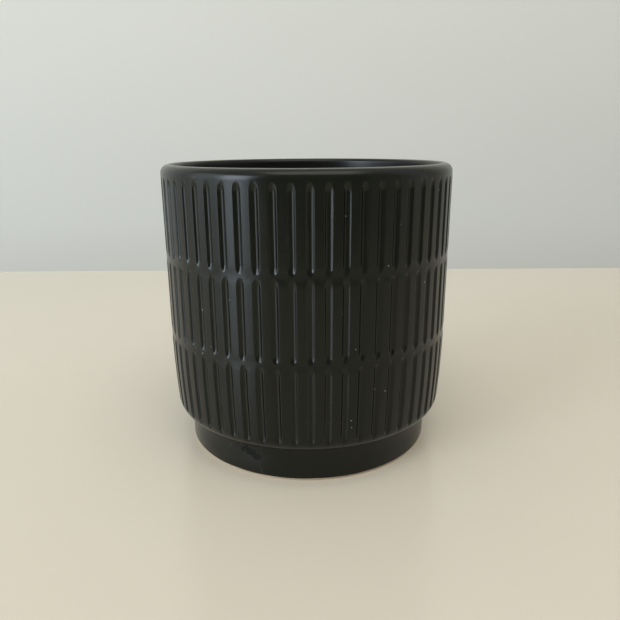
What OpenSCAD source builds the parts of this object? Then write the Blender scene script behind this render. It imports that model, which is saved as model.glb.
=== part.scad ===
// Fluted candle jar: a cast stoneware cup on a plain foot, with three tiers of
// round-ended flutes, and a coat of glaze outside, inside and under the foot.
// Millimetres, +Z up, origin on the table under the middle of the jar, front towards -Y.

/* [Body] */
// Outside diameter of the upright wall, over the ribs
body_d = 90; // [84:1:96]
// Height from the table to the top of the rim
height = 89; // [86:1:96]
// Thickness of the wall at the mouth, glaze included
wall = 4; // [3.6:0.1:5]
// How far the wall leans in, on the radius, at its lower corner
taper = 0.85; // [0.4:0.05:1.2]
// Radius of the rounded lower corner, where the wall turns in to the foot
corner_r = 4.3; // [3.6:0.1:4.6]
// Radius of the outer side of the rim
rim_r = 2.6; // [2:0.1:2.8]
// Thickness of the floor, glaze included
floor_t = 5.5; // [5:0.5:8]
// Radius of the bowl-like corner between the inner wall and the floor
floor_corner_r = 16; // [15:0.5:22]

/* [Foot] */
// Height of the foot under the lower corner
foot_h = 10.7; // [9:0.1:12]
// Width of the ring that touches the table
foot_ring_w = 5.5; // [4:0.5:8]
// Depth of the recess inside the foot ring
recess_h = 2; // [1.5:0.5:3]
// Width of the bare chamfer around the bottom edge of the foot
chamfer = 0.5; // [0.3:0.1:0.8]

/* [Flutes] */
// Number of flutes around each tier
flutes = 60; // [54:1:64]
// Width of a flute at the wall
flute_w = 2.2; // [1.8:0.1:2.6]
// Depth of a flute
flute_d = 0.65; // [0.5:0.05:0.8]
// Length of the tapered end of a flute
flute_end = 1.8; // [0.8:0.1:2.5]
// Height of the lowest end of the flutes
flute_bottom = 13.6; // [13.4:0.1:16]
// Plain band between the top of the flutes and the top of the rim
rim_band = 3.4; // [3:0.1:6]
// Turn of the first flute from the front, in degrees
first_flute = 1.2; // [0:0.1:6]

/* [Bands] */
// Height of the middle of the lower smooth band
lower_band_z = 37.6; // [36:0.1:40]
// Height of the middle of the upper smooth band
upper_band_z = 61.8; // [60:0.1:64]
// Gap between the flute ends above and below a band
band_gap = 1; // [0.8:0.1:3]
// Height of the faint waist along a band
waist_w = 4.2; // [2.8:0.2:5]
// Depth of the waist
waist_d = 0.1; // [0.05:0.05:0.3]

/* [Glaze] */
// Thickness of the glaze
glaze_t = 0.5; // [0.45:0.05:0.6]
// Height at which the outer glaze stops above the table
glaze_stop = 0.6; // [0.4:0.1:1]

/* [Hidden] */
$fn = 128;

body_r = body_d / 2;
inner_r = body_r - wall;
base_r = body_r - taper;            // wall at the top of the lower corner
foot_r = base_r - corner_r;
corner_z = foot_h + corner_r;
crest_r = body_r - rim_r;           // middle of the rounded top of the rim
rim_inner_r = wall - rim_r;
floor_z = recess_h + floor_t;
recess_r = foot_r - foot_ring_w;
pitch = 360 / flutes;
slope = atan(taper / (lower_band_z - corner_z));
past = 1;                           // overlap of a cutter past the surface it opens

flute_top = height - rim_band;
tiers = [
    [flute_bottom, lower_band_z - band_gap / 2],
    [lower_band_z + band_gap / 2, upper_band_z - band_gap / 2],
    [upper_band_z + band_gap / 2, flute_top]
];

// Radius of the circle through both edges and the bottom of a groove
function groove_r(w, d) = (w * w / 4 + d * d) / (2 * d);

// Radius of the wall, without flutes or bands, at height z between its corners
function wall_r(z) = body_r - max(0, lower_band_z - z) * tan(slope);

// Half section of the solid outer shape, t under the glazed surface
module outer_section(t) {
    difference() {
        union() {
            square([foot_r - t, corner_z]);
            translate([foot_r, corner_z]) circle(corner_r - t);
            polygon([
                [0, corner_z], [base_r - t, corner_z], [body_r - t, lower_band_z],
                [body_r - t, height - rim_r], [0, height - rim_r]
            ]);
            translate([crest_r, height - rim_r]) circle(rim_r - t);
            translate([0, height - rim_r]) square([crest_r, rim_r - t]);
        }
        for (z = [lower_band_z, upper_band_z])
            translate([body_r - waist_d + groove_r(waist_w, waist_d), z])
                circle(groove_r(waist_w, waist_d) + t);
    }
}

// Half section of the space inside the cup, t behind the glazed surface
module cavity_section(t) {
    corner = floor_corner_r + t;
    difference() {
        square([crest_r, height + past]);
        difference() {
            translate([inner_r + t, 0]) square([wall, height - rim_inner_r]);
            translate([crest_r, height]) square([wall, past]);
        }
        translate([crest_r, height - rim_inner_r]) circle(rim_inner_r - t);
        square([crest_r, floor_z - t]);
        difference() {
            translate([inner_r - floor_corner_r, floor_z - t]) square([corner, corner]);
            translate([inner_r - floor_corner_r, floor_z + floor_corner_r]) circle(corner);
        }
    }
}

// Cutter for one flute, round with tapered ends, cut t deeper than the glazed surface
module flute_cutter(low, high, t) {
    r = groove_r(flute_w, flute_d);
    lean = high <= lower_band_z ? slope : 0;
    l = high - low;
    translate([wall_r(low) + r - flute_d, 0, low])
        rotate([0, lean, 0])
            rotate_extrude()
                polygon([
                    [0, -t], [r - flute_d, -t], [r + t, flute_end],
                    [r + t, l - flute_end], [r - flute_d, l + t], [0, l + t]
                ]);
}

// The solid outer shape with its flutes, t under the glazed surface
module fluted_shape(t) {
    difference() {
        rotate_extrude() outer_section(t);
        for (tier = tiers, i = [0 : flutes - 1])
            rotate([0, 0, first_flute - 90 + i * pitch])
                flute_cutter(tier[0], tier[1], t);
    }
}

// Cast stoneware: wall, floor and foot in one piece, bare under the foot ring
module clay_body() {
    color("sienna")
        difference() {
            fluted_shape(glaze_t);
            rotate_extrude() cavity_section(glaze_t);
            translate([0, 0, -past]) cylinder(r = recess_r, h = recess_h + past);
            rotate_extrude()
                polygon([
                    [foot_r - glaze_t - chamfer, 0], [foot_r, -past],
                    [foot_r + past, 0], [foot_r - glaze_t, chamfer]
                ]);
        }
}

// Satin black glaze from just above the table to the top of the rim
module outer_glaze() {
    color([0.07, 0.07, 0.065])
        difference() {
            fluted_shape(0);
            fluted_shape(glaze_t);
            translate([0, 0, height - rim_r]) cylinder(r = crest_r, h = rim_r + past);
            translate([0, 0, -past]) cylinder(r = body_r, h = glaze_stop + past);
        }
}

// Glossier glaze that lines the cup, from the top of the rim to the floor
module inner_glaze() {
    color([0.05, 0.05, 0.05])
        rotate_extrude()
            difference() {
                cavity_section(glaze_t);
                cavity_section(0);
                translate([0, height]) square([crest_r, past + past]);
            }
}

// Glaze in the recess inside the foot ring
module base_glaze() {
    color([0.07, 0.07, 0.065])
        translate([0, 0, recess_h - glaze_t]) cylinder(r = recess_r, h = glaze_t);
}

clay_body();
outer_glaze();
inner_glaze();
base_glaze();
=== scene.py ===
"""Looks of the fluted candle jar: its glazes, bare clay and dust, on a pale table by a window."""
import math

import bmesh
import bpy
from mathutils import Matrix, Vector


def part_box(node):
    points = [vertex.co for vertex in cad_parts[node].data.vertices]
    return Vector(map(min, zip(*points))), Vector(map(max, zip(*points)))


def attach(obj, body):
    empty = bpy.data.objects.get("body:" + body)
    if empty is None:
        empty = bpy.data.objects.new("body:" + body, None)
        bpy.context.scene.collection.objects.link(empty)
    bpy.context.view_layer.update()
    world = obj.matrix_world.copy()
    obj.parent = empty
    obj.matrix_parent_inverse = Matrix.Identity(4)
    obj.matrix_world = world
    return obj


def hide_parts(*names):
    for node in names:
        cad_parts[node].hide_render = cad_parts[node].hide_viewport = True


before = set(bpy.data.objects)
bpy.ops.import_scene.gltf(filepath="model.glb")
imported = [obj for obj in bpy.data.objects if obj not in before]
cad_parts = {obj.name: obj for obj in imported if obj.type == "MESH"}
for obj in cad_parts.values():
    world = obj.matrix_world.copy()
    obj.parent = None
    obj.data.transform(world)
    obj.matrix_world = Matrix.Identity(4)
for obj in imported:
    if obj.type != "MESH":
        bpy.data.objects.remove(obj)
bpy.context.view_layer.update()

MM = 0.001

# ---------------------------------------------------------------- sizes read from the frame

coat_low, coat_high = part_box("outer_glaze")
_, clay_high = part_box("clay_body")
liner_low, liner_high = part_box("inner_glaze")
pool_low, pool_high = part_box("base_glaze")

body_r = coat_high[0]
rim_top = coat_high[2]
glaze_stop = coat_low[2]
glaze_t = body_r - clay_high[0]
crest_r = liner_high[0]
rim_r = body_r - crest_r
floor_z = liner_low[2] + glaze_t
recess_r = pool_high[0]
recess_top = pool_high[2]

# ---------------------------------------------------------------- sizes of the jar's own features

wall = 4.0 * MM
taper = 0.85 * MM
corner_r = 4.3 * MM
foot_h = 10.7 * MM
floor_corner_r = 16.0 * MM
flute_count = 60
flute_w = 2.2 * MM
flute_d = 0.65 * MM
flute_end = 2.4 * MM
flute_bottom = 13.6 * MM
rim_band = 3.4 * MM
first_flute = math.radians(1.2)
lower_band_z = 37.6 * MM
upper_band_z = 61.8 * MM
band_gap = 1.0 * MM
waist_w = 4.2 * MM
waist_d = 0.1 * MM

inner_r = body_r - wall
rim_inner_r = wall - rim_r
foot_r = body_r - taper - corner_r
corner_z = foot_h + corner_r
tiers = [
    (flute_bottom, lower_band_z - band_gap / 2),
    (lower_band_z + band_gap / 2, upper_band_z - band_gap / 2),
    (upper_band_z + band_gap / 2, rim_top - rim_band),
]


def wall_radius(z):
    """Radius of the glazed wall at height z, before its flutes and bands are pressed in."""
    lean = max(0.0, lower_band_z - z) / (lower_band_z - corner_z)
    return body_r - taper * lean * lean


# ---------------------------------------------------------------- nodes


class Bench:
    """Places nodes in one tree and wires them up."""

    def __init__(self, tree):
        self.tree = tree

    def put(self, kind, feeds=(), **settings):
        node = self.tree.nodes.new(kind)
        for key, value in settings.items():
            setattr(node, key, value)
        for socket, value in dict(feeds).items():
            self.feed(node.inputs[socket], value)
        return node

    def feed(self, socket, value):
        if isinstance(value, bpy.types.NodeSocket):
            self.tree.links.new(value, socket)
        else:
            socket.default_value = value

    def calc(self, operation, a, b=None, c=None):
        """One Math node; its result."""
        node = self.put("ShaderNodeMath", operation=operation)
        for socket, value in zip(node.inputs, (a, b, c)):
            if value is not None:
                self.feed(socket, value)
        return node.outputs[0]

    def spread(self, value, low, high, new_low=0.0, new_high=1.0):
        """Carries value smoothly from low..high to new_low..new_high, held at the ends."""
        node = self.put("ShaderNodeMapRange", interpolation_type="SMOOTHSTEP")
        names = ("Value", "From Min", "From Max", "To Min", "To Max")
        for name, number in zip(names, (value, low, high, new_low, new_high)):
            self.feed(node.inputs[name], number)
        return node.outputs["Result"]

    def blend_colour(self, mask, under, over):
        """The colour under, covered by the colour over where mask is 1."""
        node = self.put("ShaderNodeMix", data_type="RGBA")
        self.feed(node.inputs["Factor"], mask)
        self.feed(node.inputs[6], under)
        self.feed(node.inputs[7], over)
        return node.outputs[2]

    def noise(self, vector, scale, detail=2.0, roughness=0.5):
        node = self.put("ShaderNodeTexNoise")
        names = ("Vector", "Scale", "Detail", "Roughness")
        for name, value in zip(names, (vector, scale, detail, roughness)):
            self.feed(node.inputs[name], value)
        return node.outputs["Fac"]


def named_tree(name, kind, ins, outs):
    """A node group with the given named inputs and outputs, each (name, socket type, default)."""
    tree = bpy.data.node_groups.new(name, kind)
    for in_out, rows in (("INPUT", ins), ("OUTPUT", outs)):
        for label, socket_type, default in rows:
            socket = tree.interface.new_socket(name=label, in_out=in_out, socket_type=socket_type)
            if default is not None:
                socket.default_value = default
    bench = Bench(tree)
    return tree, bench, bench.put("NodeGroupInput").outputs, bench.put("NodeGroupOutput").inputs


# ---------------------------------------------------------------- pressed relief, as geometry nodes


def relief_tree():
    """Presses the flutes and faint waists into a turned wall, and wavers it a little as cast clay does.

    The attribute glaze_pool says how deep in a flute each point lies, for the glaze's gloss.
    """
    number, whole = "NodeSocketFloat", "NodeSocketInt"
    tree, b, given, result = named_tree(
        "pressed_relief",
        "GeometryNodeTree",
        [
            ("Geometry", "NodeSocketGeometry", None),
            ("Flutes", whole, flute_count),
            ("First Flute", number, first_flute),
            ("Flute Width", number, flute_w),
            ("Flute Depth", number, flute_d),
            ("Flute End", number, flute_end),
            ("Edge Softness", number, 0.35),
            ("Tier 1 Bottom", number, tiers[0][0]),
            ("Tier 1 Top", number, tiers[0][1]),
            ("Tier 2 Bottom", number, tiers[1][0]),
            ("Tier 2 Top", number, tiers[1][1]),
            ("Tier 3 Bottom", number, tiers[2][0]),
            ("Tier 3 Top", number, tiers[2][1]),
            ("Lower Band", number, lower_band_z),
            ("Upper Band", number, upper_band_z),
            ("Waist Height", number, waist_w),
            ("Waist Depth", number, waist_d),
            ("Waver", number, 0.05 * MM),
            ("Waver Size", number, 14 * MM),
            ("Finish", "NodeSocketMaterial", None),
        ],
        [("Geometry", "NodeSocketGeometry", None)],
    )
    place = b.put("GeometryNodeInputPosition").outputs[0]
    x, y, z = b.put("ShaderNodeSeparateXYZ", {"Vector": place}).outputs
    radius = b.calc("SQRT", b.calc("ADD", b.calc("MULTIPLY", x, x), b.calc("MULTIPLY", y, y)))
    turn = b.calc("ARCTAN2", x, b.calc("MULTIPLY", y, -1.0))
    pitch = b.calc("DIVIDE", 2 * math.pi, given["Flutes"])
    share = b.calc("DIVIDE", b.calc("SUBTRACT", turn, given["First Flute"]), pitch)
    from_middle = b.calc("SUBTRACT", b.calc("FRACT", b.calc("ADD", share, 0.5)), 0.5)
    across = b.calc("MULTIPLY", b.calc("MULTIPLY", from_middle, pitch), radius)
    sideways = b.calc("DIVIDE", across, b.calc("MULTIPLY", given["Flute Width"], 0.5))

    nearest = None
    for tier in (1, 2, 3):
        below = b.calc("SUBTRACT", b.calc("ADD", given[f"Tier {tier} Bottom"], given["Flute End"]), z)
        above = b.calc("SUBTRACT", z, b.calc("SUBTRACT", given[f"Tier {tier} Top"], given["Flute End"]))
        past_end = b.calc("MAXIMUM", b.calc("MAXIMUM", below, above), 0.0)
        endways = b.calc("DIVIDE", past_end, given["Flute End"])
        reach = b.calc("ADD", b.calc("MULTIPLY", sideways, sideways), b.calc("MULTIPLY", endways, endways))
        nearest = reach if nearest is None else b.calc("MINIMUM", nearest, reach)
    in_flute = b.calc("SMOOTH_MAX", b.calc("SUBTRACT", 1.0, nearest), 0.0, given["Edge Softness"])
    flute = b.calc("MULTIPLY", in_flute, given["Flute Depth"])

    nearest = None
    for band in ("Lower Band", "Upper Band"):
        half_waist = b.calc("MULTIPLY", given["Waist Height"], 0.5)
        off = b.calc("DIVIDE", b.calc("SUBTRACT", z, given[band]), half_waist)
        reach = b.calc("MULTIPLY", off, off)
        nearest = reach if nearest is None else b.calc("MINIMUM", nearest, reach)
    in_waist = b.calc("SMOOTH_MAX", b.calc("SUBTRACT", 1.0, nearest), 0.0, given["Edge Softness"])
    waist = b.calc("MULTIPLY", in_waist, given["Waist Depth"])

    noise = b.noise(place, b.calc("DIVIDE", 1.0, given["Waver Size"]), detail=1.0)
    waver = b.calc("MULTIPLY", noise, given["Waver"])
    inward = b.calc("ADD", b.calc("MAXIMUM", flute, waist), waver)
    step = b.calc("DIVIDE", b.calc("MULTIPLY", inward, -1.0), b.calc("MAXIMUM", radius, 1 * MM))
    radial = b.put("ShaderNodeCombineXYZ", {"X": x, "Y": y})
    push = b.put("ShaderNodeVectorMath", {0: radial.outputs[0], "Scale": step}, operation="SCALE")
    pooled = b.put(
        "GeometryNodeStoreNamedAttribute",
        {"Geometry": given["Geometry"], "Name": "glaze_pool", "Value": in_flute},
        data_type="FLOAT",
        domain="POINT",
    )
    pressed = b.put("GeometryNodeSetPosition", {"Geometry": pooled.outputs[0], "Offset": push.outputs[0]})
    real = b.put("GeometryNodeRealizeInstances", {"Geometry": pressed.outputs[0]})
    finished = b.put("GeometryNodeSetMaterial", {"Geometry": real.outputs[0], "Material": given["Finish"]})
    b.feed(result["Geometry"], finished.outputs[0])
    return tree


def press(piece, tree, **inputs):
    """Runs the relief tree on a turned piece and keeps the result as its plain mesh."""
    modifier = piece.modifiers.new("relief", "NODES")
    modifier.node_group = tree
    sockets = {s.name: s.identifier for s in tree.interface.items_tree if s.in_out == "INPUT"}
    for name, value in inputs.items():
        modifier[sockets[name.replace("_", " ")]] = value
    evaluated = piece.evaluated_get(bpy.context.evaluated_depsgraph_get())
    mesh = bpy.data.meshes.new_from_object(evaluated)
    piece.modifiers.clear()
    piece.data = mesh
    return piece


# ---------------------------------------------------------------- turned shapes


def arc(centre, radius, start, end, steps):
    """Points (r, z) on an arc, angles in degrees from the horizontal."""
    points = []
    for i in range(steps + 1):
        angle = math.radians(start + (end - start) * i / steps)
        points.append((centre[0] + radius * math.cos(angle), centre[1] + radius * math.sin(angle)))
    return points


def even_columns(count):
    return [2 * math.pi * i / count for i in range(count)]


def flute_columns():
    """Angles around the jar: close together on the rounded edges of each flute, far apart on the rib."""
    half_turn = flute_w / 2 / body_r
    pitch = 2 * math.pi / flute_count
    sides = [share * half_turn for share in (0.35, 0.62, 0.8, 0.92, 1.03, 1.14, 1.28)] + [pitch / 2]
    offsets = [-turn for turn in reversed(sides[:-1])] + [0.0] + sides
    return [first_flute + flute * pitch + offset for flute in range(flute_count) for offset in offsets]


def turned(name, outline, columns, sharp_rows=()):
    """A closed shell of revolution. The outline runs with the outside on its right hand."""
    bm = bmesh.new()
    rings = []
    for r, z in outline:
        if r < 1e-6:
            rings.append([bm.verts.new((0, 0, z))])
        else:
            rings.append([bm.verts.new((r * math.sin(a), -r * math.cos(a), z)) for a in columns])
    count = len(columns)
    for row, ring in enumerate(rings):
        above = rings[(row + 1) % len(rings)]
        if len(ring) == 1 and len(above) == 1:
            continue
        for i in range(count):
            j = (i + 1) % count
            corners = [ring[i % len(ring)], ring[j % len(ring)], above[j % len(above)], above[i % len(above)]]
            distinct = list(dict.fromkeys(corners))
            face = bm.faces.new(distinct)
            face.smooth = True
    for row in sharp_rows:
        ring = set(rings[row])
        for vert in ring:
            for edge in vert.link_edges:
                if edge.other_vert(vert) in ring:
                    edge.smooth = False
    bmesh.ops.recalc_face_normals(bm, faces=bm.faces)
    mesh = bpy.data.meshes.new(name)
    bm.to_mesh(mesh)
    bm.free()
    piece = bpy.data.objects.new(name, mesh)
    bpy.context.scene.collection.objects.link(piece)
    return piece


def end_heights(shares):
    """Heights in and past every flute's ends, as shares of the tapered end counted from its tip."""
    heights = []
    for low, high in tiers:
        for share in shares:
            heights += [low + share * flute_end, high - share * flute_end]
    return sorted(heights)


def wall_heights():
    """Heights of the face's rows: close together where flutes end, far apart along them."""
    heights = end_heights((-0.12, 0.05, 0.2, 0.4, 0.65, 1.0))
    heights += [low + (high - low) * share for low, high in tiers for share in (0.35, 0.65)]
    heights += [lower_band_z, upper_band_z]
    lowest = corner_z - corner_r * math.sin(math.radians(4))
    return sorted(z for z in heights if z > lowest + 0.1 * MM)


def coat_outline():
    """Half section of the outer coat: up its glazed face, over the rim, and down against the clay."""
    bead = 0.3 * MM  # radius of the coat's edge above the table
    fillet = 0.6 * MM  # radius of the notch between the foot and the corner
    fillet_z = corner_z - math.sqrt(corner_r * corner_r + 2 * corner_r * fillet)
    meet = math.degrees(math.asin(fillet / (corner_r + fillet)))
    face = arc((foot_r - bead, glaze_stop + bead), bead, -70, 0, 3)
    face.append((foot_r, (glaze_stop + fillet_z) / 2))
    face += arc((foot_r + fillet, fillet_z), fillet, 180, 90 + meet, 3)
    face += arc((foot_r, corner_z), corner_r, meet - 90, -4, 10)[1:]
    face += [(wall_radius(z), z) for z in wall_heights()]
    rim = (crest_r, rim_top - rim_r)
    face += arc(rim, rim_r, 0, 80, 8) + arc(rim, rim_r, 86, 90, 2)
    back = arc(rim, rim_r - glaze_t, 90, 0, 3)
    for z in reversed(end_heights((-0.1, 0.35, 1.0))):
        if z > corner_z:
            back.append((wall_radius(z) - glaze_t, z))
    back += arc((foot_r, corner_z), corner_r - glaze_t, 0, -90, 5)
    back[-1] = (foot_r - glaze_t, back[-1][1])
    back.append((foot_r - glaze_t, glaze_stop))
    crest_row = len(face) - 1
    return face + back, [crest_row, crest_row + 1, 0, len(face) + len(back) - 1]


def liner_outline():
    """Half section of the liner: down inside the cup to the middle of the floor, and back up by the clay."""
    rim = (crest_r, rim_top - rim_inner_r)
    corner = (inner_r - floor_corner_r, floor_z + floor_corner_r)
    face = arc(rim, rim_inner_r, 90, 94, 2) + arc(rim, rim_inner_r, 100, 180, 8)
    face += [(inner_r, z * MM) for z in range(84, 26, -6)]
    face += arc(corner, floor_corner_r, 0, -90, 16)
    face += [(corner[0] * share, floor_z) for share in (0.75, 0.5, 0.25, 0.0)]
    back = [(0.0, floor_z - glaze_t)]
    back += arc(corner, floor_corner_r + glaze_t, -90, 0, 6)
    back += arc(rim, rim_inner_r - glaze_t, 180, 90, 4)
    return face + back, [0, len(face) + len(back) - 1]


def pool_outline():
    """Half section of the glaze in the recess under the foot, thicker where it creeps up the edge."""
    thin = recess_top - 0.8 * glaze_t
    edge = pool_low[2]
    face = [(0.0, thin), (recess_r * 0.5, thin), (recess_r - 2 * MM, thin)]
    face += [(recess_r - 1 * MM, (2 * thin + edge) / 3), (recess_r - 0.4 * MM, (thin + 2 * edge) / 3)]
    face += [(recess_r, edge)]
    back = [(recess_r, recess_top), (0.0, recess_top)]
    return face + back, [len(face) - 1, len(face)]


# ---------------------------------------------------------------- effects that the finishes share

glaze_ior = 1.38
pinhole_cells = 420.0  # cells along a metre, each with one pinhole or none
dust_shake = 900.0  # scale of the noise that makes specks ragged
hairline_breaks = 700.0  # scale of the noise that breaks a hairline up
blemish_tears = 650.0  # scale of the noise that tears the blemish's edge
blemish_lumps = 900.0  # scale of the noise that roughens it inside

def glaze_skin_group():
    """Fine ripple, drifting tone and small pinholes of a fired glaze."""
    number = "NodeSocketFloat"
    tree, b, given, result = named_tree(
        "glaze_skin",
        "ShaderNodeTree",
        [
            ("Position", "NodeSocketVector", None),
            ("Ripple Size", number, 1.2 * MM),
            ("Drift Size", number, 12 * MM),
            ("Pinholes", number, 0.1),
        ],
        [("Height", number, None), ("Drift", number, None), ("Pinhole", number, None)],
    )
    place = given["Position"]
    ripple = b.noise(place, b.calc("DIVIDE", 1.0, given["Ripple Size"]), detail=3.0, roughness=0.6)
    swell = b.noise(place, b.calc("DIVIDE", 0.25, given["Ripple Size"]), detail=1.0)
    drift = b.noise(place, b.calc("DIVIDE", 1.0, given["Drift Size"]), detail=3.0)
    cells = b.put("ShaderNodeTexVoronoi", {"Vector": place, "Scale": pinhole_cells})
    tint = b.put("ShaderNodeSeparateColor", {"Color": cells.outputs["Color"]})
    chosen = b.calc("LESS_THAN", tint.outputs[0], given["Pinholes"])
    hole = b.calc("MULTIPLY", b.spread(cells.outputs["Distance"], 0.08, 0.02), chosen)
    height = b.calc("ADD", b.calc("MULTIPLY", ripple, 0.35), swell)
    b.feed(result["Height"], b.calc("SUBTRACT", height, hole))
    b.feed(result["Drift"], drift)
    b.feed(result["Pinhole"], hole)
    return tree


def dust_group():
    """Sparse pale specks of dust and lint that have settled or stuck."""
    number = "NodeSocketFloat"
    tree, b, given, result = named_tree(
        "settled_dust",
        "ShaderNodeTree",
        [
            ("Position", "NodeSocketVector", None),
            ("Amount", number, 0.05),
            ("Speck Size", number, 0.2 * MM),
            ("Spacing", number, 5 * MM),
        ],
        [("Mask", number, None)],
    )
    per_metre = b.calc("DIVIDE", 1.0, given["Spacing"])
    bend = b.put("ShaderNodeTexNoise", {"Vector": given["Position"], "Scale": dust_shake})
    shake = b.put("ShaderNodeVectorMath", {0: bend.outputs["Color"], "Scale": 0.4 * MM}, operation="SCALE")
    place = b.put("ShaderNodeVectorMath", {0: given["Position"], 1: shake.outputs[0]}, operation="ADD")
    cells = b.put("ShaderNodeTexVoronoi", {"Vector": place.outputs[0], "Scale": per_metre})
    tint = b.put("ShaderNodeSeparateColor", {"Color": cells.outputs["Color"]})
    chosen = b.calc("LESS_THAN", tint.outputs[0], given["Amount"])
    size = b.calc("MULTIPLY", b.calc("MULTIPLY", given["Speck Size"], per_metre), tint.outputs[1])
    speck = b.calc("LESS_THAN", cells.outputs["Distance"], size)
    b.feed(result["Mask"], b.calc("MULTIPLY", speck, chosen))
    return tree


def hairline_group():
    """A faint scratch: part of a thin ring around Centre, kept only near Middle."""
    number, vector = "NodeSocketFloat", "NodeSocketVector"
    tree, b, given, result = named_tree(
        "hairline",
        "ShaderNodeTree",
        [
            ("Position", vector, None),
            ("Centre", vector, None),
            ("Radius", number, 5 * MM),
            ("Middle", vector, None),
            ("Reach", number, 4 * MM),
            ("Thickness", number, 0.12 * MM),
        ],
        [("Mask", number, None)],
    )
    place = given["Position"]
    from_centre = b.put("ShaderNodeVectorMath", {0: place, 1: given["Centre"]}, operation="DISTANCE")
    from_middle = b.put("ShaderNodeVectorMath", {0: place, 1: given["Middle"]}, operation="DISTANCE")
    off = b.calc("ABSOLUTE", b.calc("SUBTRACT", from_centre.outputs["Value"], given["Radius"]))
    ring = b.spread(off, given["Thickness"], 0.0)
    part = b.spread(from_middle.outputs["Value"], given["Reach"], b.calc("MULTIPLY", given["Reach"], 0.6))
    broken = b.spread(b.noise(given["Position"], hairline_breaks), 0.35, 0.6)
    b.feed(result["Mask"], b.calc("MULTIPLY", b.calc("MULTIPLY", ring, part), broken))
    return tree


def blemish_group():
    """A ragged patch where the glaze was touched while wet, near Centre."""
    number, vector = "NodeSocketFloat", "NodeSocketVector"
    tree, b, given, result = named_tree(
        "blemish",
        "ShaderNodeTree",
        [
            ("Position", vector, None),
            ("Centre", vector, None),
            ("Width", number, 7 * MM),
            ("Height", number, 4 * MM),
        ],
        [("Mask", number, None)],
    )
    off = b.put("ShaderNodeVectorMath", {0: given["Position"], 1: given["Centre"]}, operation="SUBTRACT")
    x, y, z = b.put("ShaderNodeSeparateXYZ", {"Vector": off.outputs[0]}).outputs
    across = b.calc("DIVIDE", b.calc("MULTIPLY", x, 2.0), given["Width"])
    sloped = b.calc("ADD", z, b.calc("MULTIPLY", x, 0.45))
    upward = b.calc("DIVIDE", b.calc("MULTIPLY", sloped, 2.0), given["Height"])
    ahead = b.calc("GREATER_THAN", b.calc("MULTIPLY", y, -1.0), -20 * MM)
    squares = b.calc("ADD", b.calc("MULTIPLY", across, across), b.calc("MULTIPLY", upward, upward))
    tear = b.noise(given["Position"], blemish_tears, detail=4.0)
    ragged = b.calc("ADD", squares, b.spread(tear, 0.3, 0.7, 0.9, -0.9))
    b.feed(result["Mask"], b.calc("MULTIPLY", b.spread(ragged, 0.95, 0.55), ahead))
    return tree


def finish(name):
    """A new node material: its bench, its Principled shader and its Object coordinates."""
    material = bpy.data.materials.new(name)
    material.use_nodes = True
    bench = Bench(material.node_tree)
    shader = material.node_tree.nodes["Principled BSDF"]
    place = bench.put("ShaderNodeTexCoord").outputs["Object"]
    return material, bench, shader, place


def on_foot(turn_degrees, z):
    """A point on the foot's glaze, by its turn from the front and its height."""
    turn = math.radians(turn_degrees)
    return (foot_r * math.sin(turn), -foot_r * math.cos(turn), z)


def paint_crest_highlight(b, place, tone):
    """Paints a highlight into a glaze colour: a lighter line along the crest of the rim, standing in for the
    rim's grazing reflection of the room.
    """
    height = b.put("ShaderNodeSeparateXYZ", {"Vector": place}).outputs[2]
    # painted highlight: the lighter colour below makes a bright line along the rim's crest, in place of a
    # reflection
    thin = b.spread(height, rim_top - 0.35 * MM, rim_top - 0.02 * MM)
    return b.blend_colour(thin, tone, (0.09, 0.088, 0.075, 1))


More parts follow.
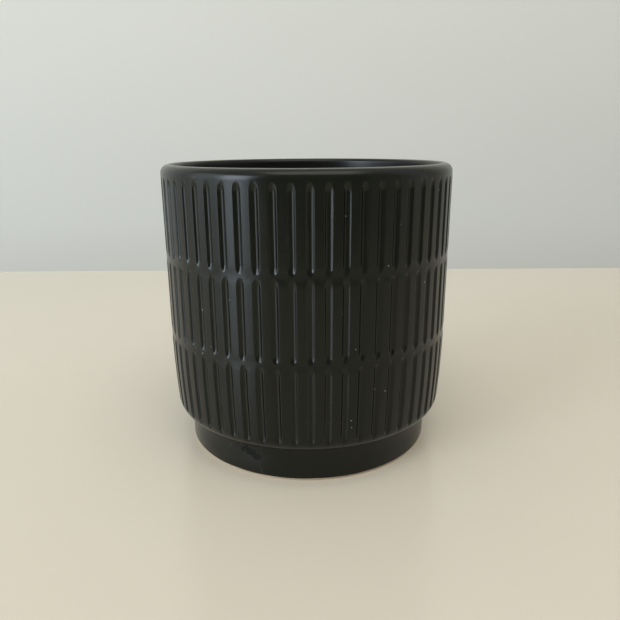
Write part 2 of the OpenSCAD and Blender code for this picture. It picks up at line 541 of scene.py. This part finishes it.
def satin_black(skin, dust, hairline, blemish):
    """Outer glaze: satin, nearly black with an olive cast, wiped off the clay just above the table."""
    material, b, shader, place = finish("satin_black_glaze")
    surface = b.put("ShaderNodeGroup", {}, node_tree=skin)
    b.feed(surface.inputs["Position"], place)
    specks = b.put("ShaderNodeGroup", {}, node_tree=dust)
    b.feed(specks.inputs["Position"], place)
    b.feed(specks.inputs["Amount"], 0.4)
    b.feed(specks.inputs["Speck Size"], 0.24 * MM)
    b.feed(specks.inputs["Spacing"], 3 * MM)
    touched = b.put("ShaderNodeGroup", {}, node_tree=blemish)
    b.feed(touched.inputs["Position"], place)
    b.feed(touched.inputs["Centre"], on_foot(-25.3, 7.6 * MM))
    pale = b.calc("MULTIPLY", specks.outputs["Mask"], 0.45)
    for turn, z, radius, middle_turn, middle_z, reach in (
        (-28.5, 2.2 * MM, 7.7 * MM, -37.5, 5.6 * MM, 4.5 * MM),
        (-14.0, 4.5 * MM, 4.9 * MM, -20.7, 3.5 * MM, 3.0 * MM),
    ):
        scratch = b.put("ShaderNodeGroup", {}, node_tree=hairline)
        b.feed(scratch.inputs["Position"], place)
        b.feed(scratch.inputs["Centre"], on_foot(turn, z))
        b.feed(scratch.inputs["Radius"], radius)
        b.feed(scratch.inputs["Middle"], on_foot(middle_turn, middle_z))
        b.feed(scratch.inputs["Reach"], reach)
        pale = b.calc("MAXIMUM", pale, b.calc("MULTIPLY", scratch.outputs["Mask"], 0.12))
    tone = b.blend_colour(surface.outputs["Drift"], (0.0019, 0.0034, 0.0017, 1), (0.0034, 0.0050, 0.0030, 1))
    # painted highlight: a lighter line along the rim's crest
    tone = paint_crest_highlight(b, place, tone)
    height = b.put("ShaderNodeSeparateXYZ", {"Vector": place}).outputs[2]
    edge = b.calc("ADD", height, b.calc("MULTIPLY", b.noise(place, 140.0), 0.3 * MM))
    wiped = b.spread(edge, glaze_stop + 0.45 * MM, glaze_stop + 0.3 * MM)
    tone = b.blend_colour(wiped, tone, (0.66, 0.55, 0.42, 1))
    b.feed(shader.inputs["Base Color"], b.blend_colour(pale, tone, (0.4, 0.4, 0.38, 1)))
    pool = b.put("ShaderNodeAttribute", attribute_name="glaze_pool").outputs["Fac"]
    drift = b.spread(surface.outputs["Drift"], 0.3, 0.7, 0.0, 0.05)
    sheen = b.calc("ADD", b.spread(pool, 0.02, 0.3, 0.22, 0.12), drift)
    marked = b.calc("MAXIMUM", b.calc("MAXIMUM", wiped, pale), touched.outputs["Mask"])
    rough = b.calc("MAXIMUM", sheen, b.calc("MULTIPLY", marked, 0.85))
    b.feed(shader.inputs["Roughness"], rough)
    lumps = b.calc("MULTIPLY", touched.outputs["Mask"], b.noise(place, blemish_lumps, detail=3.0))
    height = b.calc("ADD", surface.outputs["Height"], b.calc("MULTIPLY", lumps, 14.0))
    bump = b.put("ShaderNodeBump", {"Strength": 0.12, "Distance": 0.1 * MM, "Height": height})
    b.feed(shader.inputs["Normal"], bump.outputs[0])
    shader.inputs["IOR"].default_value = glaze_ior
    return material


def gloss_black(skin, dust):
    """Liner: the same glaze inside the cup, a little darker and with broader reflections."""
    material, b, shader, place = finish("gloss_black_glaze")
    surface = b.put("ShaderNodeGroup", {}, node_tree=skin)
    b.feed(surface.inputs["Position"], place)
    specks = b.put("ShaderNodeGroup", {}, node_tree=dust)
    b.feed(specks.inputs["Position"], place)
    tone = b.blend_colour(surface.outputs["Drift"], (0.0016, 0.0018, 0.0016, 1), (0.0028, 0.0030, 0.0027, 1))
    # painted highlight: a lighter line along the rim's crest
    tone = paint_crest_highlight(b, place, tone)
    colour = b.blend_colour(b.calc("MULTIPLY", specks.outputs["Mask"], 0.5), tone, (0.3, 0.3, 0.28, 1))
    b.feed(shader.inputs["Base Color"], colour)
    b.feed(shader.inputs["Roughness"], b.spread(surface.outputs["Drift"], 0.3, 0.7, 0.28, 0.36))
    height = surface.outputs["Height"]
    bump = b.put("ShaderNodeBump", {"Strength": 0.1, "Distance": 0.1 * MM, "Height": height})
    b.feed(shader.inputs["Normal"], bump.outputs[0])
    shader.inputs["IOR"].default_value = glaze_ior
    return material


def bare_stoneware():
    """Unglazed fired clay: warm buff with darker grog."""
    material, b, shader, place = finish("bare_stoneware")
    grain = b.noise(place, 1500.0, detail=4.0, roughness=0.7)
    patch = b.noise(place, 120.0, detail=2.0)
    tone = b.blend_colour(patch, (0.62, 0.49, 0.36, 1), (0.72, 0.59, 0.45, 1))
    cells = b.put("ShaderNodeTexVoronoi", {"Vector": place, "Scale": 900.0})
    grog = b.calc("MULTIPLY", b.spread(cells.outputs["Distance"], 0.35, 0.2), b.spread(grain, 0.5, 0.62))
    specked = b.blend_colour(b.calc("MULTIPLY", grog, 0.5), tone, (0.28, 0.17, 0.11, 1))
    b.feed(shader.inputs["Base Color"], specked)
    b.feed(shader.inputs["Roughness"], b.spread(grain, 0.3, 0.7, 0.75, 0.95))
    bump = b.put("ShaderNodeBump", {"Strength": 0.5, "Distance": 0.15 * MM, "Height": grain})
    b.feed(shader.inputs["Normal"], bump.outputs[0])
    return material


# ---------------------------------------------------------------- the jar

skin_group = glaze_skin_group()
dust_specks = dust_group()
satin = satin_black(skin_group, dust_specks, hairline_group(), blemish_group())
gloss = gloss_black(skin_group, dust_specks)
clay = bare_stoneware()
relief = relief_tree()

outline, sharp = coat_outline()
coat = press(turned("fluted_outer_coat", outline, flute_columns(), sharp), relief, Finish=satin)
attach(coat, "root")
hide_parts("outer_glaze")

outline, sharp = liner_outline()
liner = turned("cup_liner", outline, even_columns(288), sharp)
press(liner, relief, Finish=gloss, Flute_Depth=0.0, Waist_Depth=0.0)
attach(liner, "root")
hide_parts("inner_glaze")

outline, sharp = pool_outline()
pool = turned("recess_glaze", outline, even_columns(192), sharp)
pool.data.materials.append(satin)
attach(pool, "root")
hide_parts("base_glaze")

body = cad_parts["clay_body"]
body.data.materials.clear()
body.data.materials.append(clay)

# ---------------------------------------------------------------- table, wall, light and camera


def plain_sheet(name, corners, material):
    mesh = bpy.data.meshes.new(name)
    mesh.from_pydata(corners, [], [(0, 1, 2, 3)])
    mesh.materials.append(material)
    sheet = bpy.data.objects.new(name, mesh)
    bpy.context.scene.collection.objects.link(sheet)
    return sheet


def plain_paint(name, colour, roughness):
    material, _, shader, _ = finish(name)
    shader.inputs["Base Color"].default_value = colour
    shader.inputs["Roughness"].default_value = roughness
    return material


table_front = -1.0
table_back = 0.25
table_side = 1.2
wall_y = 0.6
table_paint = plain_paint("cream_table", (0.65, 0.595, 0.49, 1), 0.22)
wall_paint = plain_paint("pale_wall", (0.70, 0.70, 0.645, 1), 0.9)
plain_sheet(
    "table_top",
    [
        (-table_side, table_front, 0),
        (table_side, table_front, 0),
        (table_side, table_back, 0),
        (-table_side, table_back, 0),
    ],
    table_paint,
)
plain_sheet(
    "back_wall",
    [(-2.5, wall_y, -0.6), (2.5, wall_y, -0.6), (2.5, wall_y, 1.8), (-2.5, wall_y, 1.8)],
    wall_paint,
)


def grey_card(name, corners):
    """A grey card that only shows in reflections, for the dim side of the room."""
    paint = plain_paint(name, (0.40, 0.39, 0.35, 1), 0.9)
    card = plain_sheet(name, corners, paint)
    card.visible_camera = False
    card.visible_diffuse = False
    card.visible_shadow = False
    return card


def upright(start, end, high):
    """Corners of an upright sheet on the table, over the line from start to end."""
    return [(*start, 0), (*end, 0), (*end, high), (*start, high)]


card_high = 0.5
card_corner = (0.35, -0.36)
grey_card("front_card", upright((-0.22, -0.36), card_corner, card_high))
grey_card("side_card", upright(card_corner, (0.42, -0.15), card_high))


def soft_window(name, place, target, width, height, watts, colour):
    """A rectangular light at place, turned to target."""
    light = bpy.data.lights.new(name, "AREA")
    light.shape = "RECTANGLE"
    light.size = width
    light.size_y = height
    light.energy = watts
    light.color = colour
    lamp = bpy.data.objects.new(name, light)
    aim = Vector(target) - Vector(place)
    lamp.matrix_world = Matrix.Translation(place) @ aim.to_track_quat("-Z", "Y").to_matrix().to_4x4()
    bpy.context.scene.collection.objects.link(lamp)
    return lamp


soft_window("window", (-1.78, -1.3, 0.63), (0, 0, 0.05), 0.84, 1.24, 28, (0.76, 0.87, 1.0))
soft_window("side_window", (-2.1, -0.4, 0.65), (0, 0, 0.05), 1.2, 1.6, 9, (0.80, 0.90, 1.0))
soft_window("room_light", (0.1, -0.6, 1.25), (0, 0, 0), 1.2, 1.2, 8, (1.0, 0.97, 0.92))

world = bpy.data.worlds.new("room")
world.use_nodes = True
room = Bench(world.node_tree)
background = world.node_tree.nodes["Background"]
towards = room.put("ShaderNodeTexCoord").outputs["Generated"]
_, depth, up = room.put("ShaderNodeSeparateXYZ", {"Vector": towards}).outputs
ceiling = room.spread(up, -0.05, 0.6)
behind = room.spread(depth, 0.2, -0.7)
low_part = room.blend_colour(behind, (0.60, 0.60, 0.57, 1), (0.20, 0.195, 0.18, 1))
room.feed(background.inputs["Color"], room.blend_colour(ceiling, low_part, (0.62, 0.61, 0.58, 1)))
background.inputs["Strength"].default_value = 1.1
bpy.context.scene.world = world
bpy.context.scene.view_settings.view_transform = "Standard"

camera_data = bpy.data.cameras.new("camera")
camera_data.sensor_width = 36
camera_data.lens = 33.56
camera_data.clip_start = 0.01
camera = bpy.data.objects.new("camera", camera_data)
camera_place = (0.0008, -0.1879, 0.09525)
tilt_down = math.radians(16.255)
roll = -0.0062
camera.matrix_world = (
    Matrix.Translation(camera_place)
    @ Matrix.Rotation(math.pi / 2 - tilt_down, 4, "X")
    @ Matrix.Rotation(roll, 4, "Z")
)
bpy.context.scene.collection.objects.link(camera)
bpy.context.scene.camera = camera
